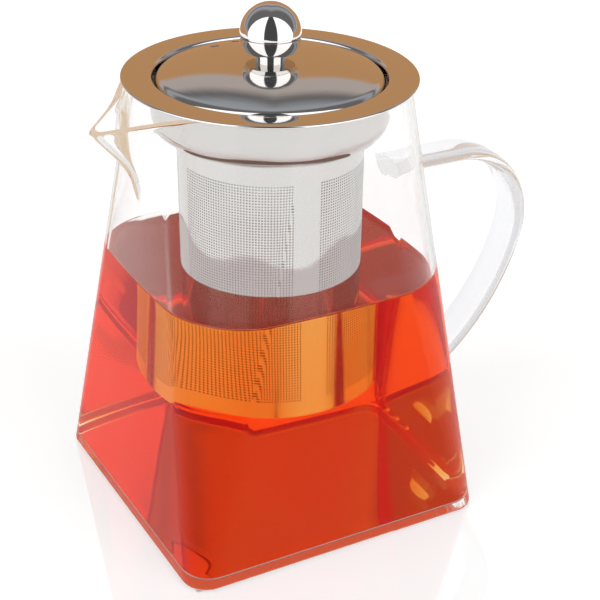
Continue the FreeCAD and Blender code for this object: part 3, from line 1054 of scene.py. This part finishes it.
@dataclass
class Infuser:
    """The steel infuser: pressed collar, perforated sleeve and pressed floor. Millimetres."""

    rim_z: float = 141.8
    collar_sheet: float = 0.8
    flange_r: float = 45.0
    cup_r: float = 36.4
    cup_depth: float = 18.3
    cup_lip_r: float = 1.1
    throat_length: float = 5.0
    sleeve_r: float = 28.8
    sleeve_sheet: float = 0.5
    sleeve_bottom_z: float = 42.1
    weld_fit: float = 0.05
    base_sheet: float = 0.5
    base_rim: float = 4.0
    base_bend: float = 1.5
    hole_d: float = 0.5
    merge: float = 0.02
    panels: int = 4
    columns: int = 50
    rows: int = 92
    plain_columns: int = 9
    top_rows: int = 7
    low_rows: int = 6
    strip_middle_degrees: float = -5.0

    @property
    def flange_top_z(self) -> float:
        """The height of the flange's top face."""
        return self.rim_z + self.collar_sheet

    @property
    def throat_z(self) -> float:
        """The height of the cup's underside, where the sleeve starts."""
        return self.flange_top_z - self.cup_depth

    def build_collar(self) -> Piece:
        """Makes the flange, cup and throat from one sheet."""
        sheet, top = self.collar_sheet, self.flange_top_z
        lip, lip_in = self.cup_lip_r, self.cup_lip_r - self.collar_sheet
        lip_x, lip_z = self.cup_r + lip_in, top - lip
        throat = self.sleeve_r - self.sleeve_sheet - self.weld_fit
        corner = self.cup_r - self.sleeve_r
        corner_z = self.throat_z + corner
        soft = sheet / 2
        profile = Profile(lip_x, top - sheet)
        profile.arc(self.flange_r - soft, top - soft, soft, -90, 90, steps=10)
        profile.arc(lip_x, lip_z, lip, 90, 180, steps=12)
        profile.arc(self.sleeve_r, corner_z, corner - sheet, 0, -90, steps=20)
        profile.to(throat - sheet, self.throat_z + sheet)
        profile.to(throat - sheet, self.throat_z - self.throat_length)
        profile.to(throat, self.throat_z - self.throat_length)
        profile.to(throat, self.throat_z)
        profile.arc(self.sleeve_r, corner_z, corner, -90, 0, steps=20)
        profile.arc(lip_x, lip_z, lip_in, 180, 90, steps=8)
        return turned_piece("collar_steel", profile, steps=256)

    def cell(self, name: str, width: float, height: float, holed: bool) -> Piece:
        """Makes one flat cell of the sheet, with or without its hole.

        Args:
            name: The cell object's name.
            width: The cell's width in metres.
            height: The cell's height in metres.
            holed: Whether the cell has a round hole.

        Returns:
            A small mesh object that faces -Y, not linked to the scene.
        """
        edge = [(0, 0), (0.5, 0), (1, 0), (1, 0.5), (1, 1), (0.5, 1), (0, 1), (0, 0.5)]
        points = [(x * width, 0.0, z * height) for x, z in edge]
        faces: list[Face] = []
        if holed:
            radius = self.hole_d / 2 * MM
            for x, z in edge:
                turn = math.atan2((z - 0.5) * height, (x - 0.5) * width)
                across, up = radius * math.cos(turn), radius * math.sin(turn)
                points.append((width / 2 + across, 0.0, height / 2 + up))
            for index in range(8):
                after = (index + 1) % 8
                faces.append((index, after, 8 + after, 8 + index))
        else:
            points.append((width / 2, 0.0, height / 2))
            for index in range(0, 8, 2):
                faces.append(((index - 1) % 8, index, index + 1, 8))
        mesh = bpy.data.meshes.new(name)
        mesh.from_pydata(points, [], faces)
        return bpy.data.objects.new(name, mesh)

    def build_sleeve(self, material: Material) -> list[Piece]:
        """Rolls the four perforated quarters of the sleeve.

        Args:
            material: The sheet's material.

        Returns:
            One closed piece for each quarter.
        """
        radius = self.sleeve_r * MM
        quarter = 2.0 * math.pi / self.panels
        across = radius * quarter / self.columns
        up = (self.throat_z - self.sleeve_bottom_z) * MM / self.rows
        tree = perforated_tree()
        cells = [self.cell("hole_cell", across, up, True), self.cell("plain_cell", across, up, False)]
        strip = self.plain_columns / self.columns * quarter
        pieces = []
        for number in range(self.panels):
            start = math.radians(self.strip_middle_degrees) - strip / 2 + quarter * number
            blank = bpy.data.meshes.new(f"sleeve_blank_{number + 1}")
            piece = bpy.data.objects.new(f"sleeve_quarter_{number + 1}", blank)
            bpy.context.scene.collection.objects.link(piece)
            rolled = piece.modifiers.new("perforation", "NODES")
            rolled.node_group = tree
            values = {
                "Columns": self.columns, "Rows": self.rows, "Plain Columns": self.plain_columns,
                "Top Rows": self.top_rows, "Low Rows": self.low_rows, "Pitch Across": across, "Pitch Up": up,
                "Radius": radius, "Start Angle": start, "Bottom": self.sleeve_bottom_z * MM,
                "Merge": self.merge * MM,
                "Hole Cell": cells[0], "Plain Cell": cells[1], "Material": material,
            }
            for item in tree.interface.items_tree:
                if item.in_out == "INPUT":
                    rolled[item.identifier] = values[item.name]
            wall = piece.modifiers.new("wall", "SOLIDIFY")
            wall.thickness = self.sleeve_sheet * MM
            wall.offset = -1.0
            freeze(piece)
            pieces.append(piece)
        for cell in cells:
            bpy.data.objects.remove(cell)
        return pieces

    def build_base(self) -> Piece:
        """Makes the pressed floor with its rounded edge and upturned rim."""
        outer = self.sleeve_r - self.sleeve_sheet - self.weld_fit
        low, sheet, bend = self.sleeve_bottom_z, self.base_sheet, self.base_bend
        profile = Profile(0.0, low)
        profile.arc(outer - bend, low + bend, bend, -90, 0, steps=8)
        profile.to(outer, low + self.base_rim)
        profile.to(outer - sheet, low + self.base_rim)
        profile.arc(outer - bend, low + bend, bend - sheet, 0, -90, steps=8)
        profile.to(0.0, low + sheet)
        return turned_piece("floor_steel", profile, steps=128)


def freeze(piece: Piece) -> None:
    """Turns a piece with modifiers into a plain mesh.

    Args:
        piece: The object whose modifiers are applied and removed.
    """
    graph = bpy.context.evaluated_depsgraph_get()
    mesh = bpy.data.meshes.new_from_object(piece.evaluated_get(graph))
    piece.modifiers.clear()
    piece.data = mesh
    mesh.name = piece.name
    mesh.shade_smooth()
    mesh.set_sharp_from_angle(angle=math.radians(SHARP_DEGREES))


@dataclass
class Lid:
    """The loose lid: domed cover, neck and ball. Millimetres."""

    infuser: Infuser
    sheet: float = 0.7
    gap: float = 0.8
    crown_rise: float = 4.7
    dome_r: float = 83.0
    shoulder_r: float = 3.0
    crown_flat_r: float = 6.0
    seat_gap: float = 0.3
    vent_d: float = 2.8
    vent_ring_r: float = 23.2
    vent_degrees: tuple[float, float] = (91.0, 110.5)
    drill_reach: float = 10.0
    screw_hole_r: float = 2.2
    neck_r: float = 4.5
    neck_height: float = 2.3
    knob_r: float = 9.3
    knob_flat_r: float = 7.6

    @property
    def edge_r(self) -> float:
        """The radius of the lid's skirt."""
        return self.infuser.cup_r - self.infuser.collar_sheet - self.gap

    @property
    def crown_z(self) -> float:
        """The height of the lid's flat crown."""
        return self.infuser.flange_top_z + self.crown_rise

    def build_shell(self) -> Piece:
        """Makes the domed cover with its skirt and drilled vents."""
        cup = self.infuser
        corner = cup.cup_r - cup.sleeve_r
        reach = self.edge_r - cup.sleeve_r
        seat = cup.throat_z + corner - math.sqrt((corner - cup.collar_sheet) ** 2 - reach ** 2)
        low = seat + self.seat_gap
        dome_z = self.crown_z - self.dome_r
        span = self.dome_r - self.shoulder_r
        out = self.edge_r - self.shoulder_r - self.crown_flat_r
        shoulder_z = dome_z + math.sqrt(span ** 2 - out ** 2)
        shoulder_x = self.edge_r - self.shoulder_r
        tilt = 90.0 - math.degrees(math.asin(out / span))
        soft = self.sheet / 2
        profile = Profile(self.screw_hole_r, self.crown_z - self.sheet)
        profile.arc(self.crown_flat_r, dome_z, self.dome_r - self.sheet, 90, tilt, steps=30)
        profile.arc(shoulder_x, shoulder_z, self.shoulder_r - self.sheet, tilt, 0, steps=14)
        profile.arc(self.edge_r - soft, low + soft, soft, 180, 360, steps=8)
        profile.arc(shoulder_x, shoulder_z, self.shoulder_r, 0, tilt, steps=14)
        profile.arc(self.crown_flat_r, dome_z, self.dome_r, tilt, 90, steps=30)
        profile.to(self.screw_hole_r, self.crown_z)
        shell = turned_piece("lid_steel", profile, steps=256)
        for degrees in self.vent_degrees:
            self.drill(shell, degrees)
        return shell

    def drill(self, shell: Piece, degrees: float) -> None:
        """Drills one vent through the dome.

        Args:
            shell: The lid's shell.
            degrees: The vent's place round the lid.
        """
        turn = math.radians(degrees)
        radius = self.vent_d / 2
        low, high = self.crown_z - self.drill_reach, self.crown_z + self.drill_reach
        profile = Profile(0.0, low).to(radius, low).to(radius, high).to(0.0, high)
        tool = turned_piece("vent_drill", profile, steps=24)
        spot = Vector((math.cos(turn), math.sin(turn), 0.0)) * self.vent_ring_r * MM
        tool.data.transform(Matrix.Translation(spot))
        cut = shell.modifiers.new("vent", "BOOLEAN")
        cut.operation = "DIFFERENCE"
        cut.solver = "EXACT"
        cut.object = tool
        freeze(shell)
        bpy.data.objects.remove(tool)

    def build_neck(self) -> Piece:
        """Makes the short straight spacer under the ball."""
        low, high = self.crown_z, self.crown_z + self.neck_height
        profile = Profile(self.screw_hole_r, low).to(self.neck_r, low)
        profile.to(self.neck_r, high).to(self.screw_hole_r, high)
        return turned_piece("neck_steel", profile, steps=96)

    def build_ball(self) -> Piece:
        """Makes the ball with its flat seat."""
        low = self.crown_z + self.neck_height
        lift = math.sqrt(self.knob_r ** 2 - self.knob_flat_r ** 2)
        start = -math.degrees(math.atan2(lift, self.knob_flat_r))
        profile = Profile(0.0, low)
        profile.arc(0.0, low + lift, self.knob_r, start, 90, steps=60)
        profile.points[-1] = (0.0, low + lift + self.knob_r)
        return turned_piece("ball_steel", profile, steps=128)


@dataclass
class Studio:
    """The floor, the surround and the camera of the photograph. Metres and degrees."""

    azimuth: float = -29.26
    elevation: float = 27.84
    roll: float = 1.13
    distance: float = 0.4847
    aim_right: float = 0.01026
    aim_height: float = 0.0652
    lens: float = 89.5
    sensor: float = 36.0
    clip_start: float = 0.01
    backdrop: Colour = (0.52, 0.285, 0.13, 1.0)
    haze: Colour = (0.47, 0.41, 0.38, 1.0)
    ceiling: Colour = (0.15, 0.145, 0.145, 1.0)
    ceiling_front: Colour = (0.34, 0.36, 0.39, 1.0)
    gap: Colour = (0.07, 0.07, 0.072, 1.0)
    box: Colour = (1.5, 1.5, 1.5, 1.0)
    backdrop_top: float = 36.0
    haze_top: float = 49.0
    front_low: float = 56.0
    front_high: float = 78.0
    bow: float = 36.0
    box_top: float = 104.0
    box_outer: float = 92.0
    gap_left: float = -23.0
    gap_right: float = 27.0
    softness: float = 2.0
    haze_softness: float = 4.0
    front_softness: float = 10.0
    inner_share: float = 0.55
    floor_half: float = 0.62
    floor_drop: float = 0.0003
    floor_tone: Colour = (0.86, 0.86, 0.86, 1.0)
    floor_ior: float = 2.0
    floor_lift: float = 0.55
    sharp_painted_dimming: float = 0.5
    mirrored_painted_dimming: float = 0.4
    immersed_turns: int = 5
    pot_half: float = 0.05
    painted_pot_shadow: float = 0.65

    def level_axes(self) -> tuple[Vector, Vector, Vector]:
        """The right, up and back directions of a camera that isn't rolled."""
        turn, rise = math.radians(self.azimuth), math.radians(self.elevation)
        right = Vector((math.cos(turn), math.sin(turn), 0.0))
        back = Vector((math.sin(turn) * math.cos(rise), -math.cos(turn) * math.cos(rise), math.sin(rise)))
        return right, back.cross(right), back

    def place_camera(self) -> None:
        """Stands the camera where the photograph was taken."""
        level, high, back = self.level_axes()
        lean = math.radians(self.roll)
        right = level * math.cos(lean) + high * math.sin(lean)
        up = high * math.cos(lean) - level * math.sin(lean)
        target = Vector((0.0, 0.0, self.aim_height)) + right * self.aim_right
        spot = target + back * self.distance
        camera = bpy.data.objects.new("camera", bpy.data.cameras.new("camera"))
        camera.data.lens = self.lens
        camera.data.sensor_width = self.sensor
        camera.data.sensor_fit = "AUTO"
        camera.data.clip_start = self.clip_start
        turn = Matrix((right, up, back)).transposed().to_4x4()
        camera.matrix_world = Matrix.Translation(spot) @ turn
        bpy.context.scene.collection.objects.link(camera)
        bpy.context.scene.camera = camera

    def surround(self) -> None:
        """Sets the studio that metal and glass mirror, and a white surround for what is seen straight."""
        world = bpy.data.worlds.new("studio_surround")
        world.use_nodes = True
        world.node_tree.nodes.clear()
        nodes = NodeTree(world.node_tree)
        aim = nodes.add("ShaderNodeTexCoord").outputs["Generated"]
        right, _, _ = self.level_axes()
        front = Vector((right.y, -right.x, 0.0))
        rise = nodes.add("ShaderNodeSeparateXYZ", Vector=aim).outputs["Z"]
        ahead = self.along(nodes, aim, front)
        across = self.along(nodes, aim, right)

        # Up from the horizon behind the pot, over the top, to the horizon behind the camera
        level = nodes.maths("MAXIMUM", rise, 0.0)
        climb = nodes.maths("ARCTAN2", level, nodes.times(ahead, -1.0))
        swing = nodes.maths("ARCTAN2", across, ahead)
        bowed = nodes.maths("MULTIPLY_ADD", nodes.maths("ABSOLUTE", across), math.radians(self.bow), climb)
        nearer = self.edge(nodes, bowed, self.front_low, self.haze_softness)
        farther = self.edge(nodes, bowed, self.front_high, self.front_softness)
        ceiling = nodes.tint(nodes.minus(nearer, farther), self.ceiling, self.ceiling_front)
        colour = nodes.tint(self.edge(nodes, bowed, self.backdrop_top), self.backdrop, self.haze)
        colour = nodes.tint(self.edge(nodes, bowed, self.haze_top, self.haze_softness), colour, ceiling)

        # Two white boxes behind the camera, with a dark gap between them
        above = self.edge(nodes, climb, self.box_top)
        gap = self.band(nodes, swing, self.gap_left, self.gap_right)
        colour = nodes.tint(nodes.times(gap, above), colour, self.gap)
        left = self.band(nodes, swing, -self.box_outer, self.gap_left)
        side = self.band(nodes, swing, self.gap_right, self.box_outer)
        colour = nodes.tint(nodes.times(nodes.plus(left, side), above), colour, self.box)
        studio = nodes.add("ShaderNodeBackground", Color=colour, Strength=1.0).outputs[0]
        white = nodes.add("ShaderNodeBackground", Color=WHITE, Strength=1.0).outputs[0]
        path = nodes.add("ShaderNodeLightPath").outputs
        clear = nodes.maths("MAXIMUM", path["Is Camera Ray"], path["Is Singular Ray"])
        turned = nodes.times(path["Is Transmission Ray"], nodes.at_least(path["Glossy Depth"], 1))
        clear = nodes.minus(clear, nodes.times(turned, self.inner_share))
        nodes.add("ShaderNodeOutputWorld", Surface=nodes.shade(clear, studio, white))
        bpy.context.scene.world = world

    @staticmethod
    def along(nodes: NodeTree, aim: Socket, way: Vector) -> Socket:
        """How far a direction points along another one.

        Args:
            nodes: The world's tree.
            aim: The direction looked in.
            way: The fixed direction.

        Returns:
            The share's socket.
        """
        node = nodes.tree.nodes.new("ShaderNodeVectorMath")
        node.operation = "DOT_PRODUCT"
        nodes.feed(node.inputs[0], aim)
        nodes.feed(node.inputs[1], way)
        return node.outputs["Value"]

    def edge(
        self, nodes: NodeTree, angle: Socket, degrees: float, softness: float | None = None,
    ) -> Socket:
        """A soft step from 0 to 1 where an angle passes a value.

        Args:
            nodes: The world's tree.
            angle: The angle's socket, in radians.
            degrees: Where the step is.
            softness: Half the step's width in degrees, if it isn't the usual one.

        Returns:
            The step's socket.
        """
        half = self.softness if softness is None else softness
        low = math.radians(degrees - half)
        high = math.radians(degrees + half)
        return nodes.add("ShaderNodeMapRange", {"interpolation_type": "SMOOTHSTEP"}, Value=angle,
                         From_Min=low, From_Max=high).outputs[0]

    def band(self, nodes: NodeTree, angle: Socket, low: float, high: float) -> Socket:
        """A soft band that is 1 between two angles in degrees, and otherwise 0."""
        return nodes.minus(self.edge(nodes, angle, low), self.edge(nodes, angle, high))

    def lay_floor(self) -> None:
        """Lays a white, glossy floor, with a painted shadow under the pot where most of its white lift is
        taken away.
        """
        half, low = self.floor_half, -self.floor_drop
        corners = np.array([(-half, -half, low), (half, -half, low), (half, half, low), (-half, half, low)])
        floor = mesh_piece("floor", corners, [(0, 1, 2, 3)])
        material, nodes = new_material("white_floor")
        path = nodes.add("ShaderNodeLightPath").outputs
        # Painted shade in reflections: sharp mirrors see half the white lift, and rays mirrored and then
        # bent see less of it unless they crossed many surfaces
        dull = nodes.minus(path["Is Glossy Ray"], nodes.times(path["Is Singular Ray"], self.sharp_painted_dimming))
        seen = nodes.maths("MAXIMUM", path["Is Camera Ray"], path["Is Transmission Ray"])
        seen = nodes.maths("MAXIMUM", seen, dull)
        mirrored = nodes.times(path["Is Transmission Ray"], nodes.at_least(path["Glossy Depth"], 1))
        shallow = nodes.minus(1.0, nodes.at_least(path["Transmission Depth"], self.immersed_turns))
        seen = nodes.minus(seen, nodes.times(nodes.times(mirrored, shallow), self.mirrored_painted_dimming))
        # Painted shadow: under the pot's footprint most of the white lift is taken away
        place = nodes.add("ShaderNodeTexCoord").outputs["Object"]
        parts = nodes.add("ShaderNodeSeparateXYZ", Vector=place).outputs
        reach = nodes.maths("MAXIMUM", *[nodes.maths("ABSOLUTE", parts[axis]) for axis in ("X", "Y")])
        painted_shadow_share = nodes.times(nodes.maths("LESS_THAN", reach, self.pot_half), self.painted_pot_shadow)
        lift = nodes.times(nodes.times(seen, self.floor_lift), nodes.minus(1.0, painted_shadow_share))
        board = nodes.add("ShaderNodeBsdfPrincipled", Base_Color=self.floor_tone, Roughness=0.0,
                          IOR=self.floor_ior, Emission_Color=WHITE, Emission_Strength=lift)
        nodes.add("ShaderNodeOutputMaterial", Surface=board.outputs[0])
        floor.data.materials.append(material)

    @staticmethod
    def light_paths() -> None:
        """Lets light go through many walls of glass, and leaves the faint speckle of bent light out."""
        cycles = bpy.context.scene.cycles
        cycles.max_bounces = 28
        cycles.glossy_bounces = 20
        cycles.transmission_bounces = 28
        cycles.transparent_max_bounces = 32
        cycles.caustics_refractive = False

    def build(self) -> None:
        """Sets up the whole studio."""
        self.place_camera()
        self.surround()
        self.lay_floor()
        self.light_paths()
        bpy.context.scene.view_settings.view_transform = "Standard"


def main() -> None:
    """Builds the teapot piece by piece round the frame."""
    logging.basicConfig(level=logging.INFO, format="%(message)s")
    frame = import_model()
    finishes = Finishes.build()
    pot = GlassPot()
    glass = pot.build_glass()
    fit(glass, finishes.glass, Body.POT, Slot.GLASS, "glass_body")
    pot.back_with_tea(glass, finishes)
    fit(pot.build_tea(), finishes.tea, Body.POT, Slot.TEA, "brewed_tea")
    fit(RibbonHandle(pot).build(), finishes.handle, Body.POT, Slot.GLASS, "glass_handle")
    infuser = Infuser()
    fit(infuser.build_collar(), finishes.polished, Body.INFUSER, Slot.POLISHED, "infuser_collar")
    for quarter in infuser.build_sleeve(finishes.satin):
        fit(quarter, finishes.satin, Body.INFUSER, Slot.SATIN, "infuser_sleeve")
    fit(infuser.build_base(), finishes.satin, Body.INFUSER, Slot.SATIN, "infuser_base")
    lid = Lid(infuser)
    fit(lid.build_shell(), finishes.polished, Body.LID, Slot.POLISHED, "lid_shell")
    fit(lid.build_neck(), finishes.ball, Body.LID, Slot.POLISHED, "knob_neck")
    fit(lid.build_ball(), finishes.ball, Body.LID, Slot.POLISHED, "lid_knob")
    for node in ("knob_washer", "knob_screw"):
        frame["nodes"][node].data.materials.clear()
        frame["nodes"][node].data.materials.append(finishes.satin)
    Studio().build()


if __name__ == "__main__":
    main()
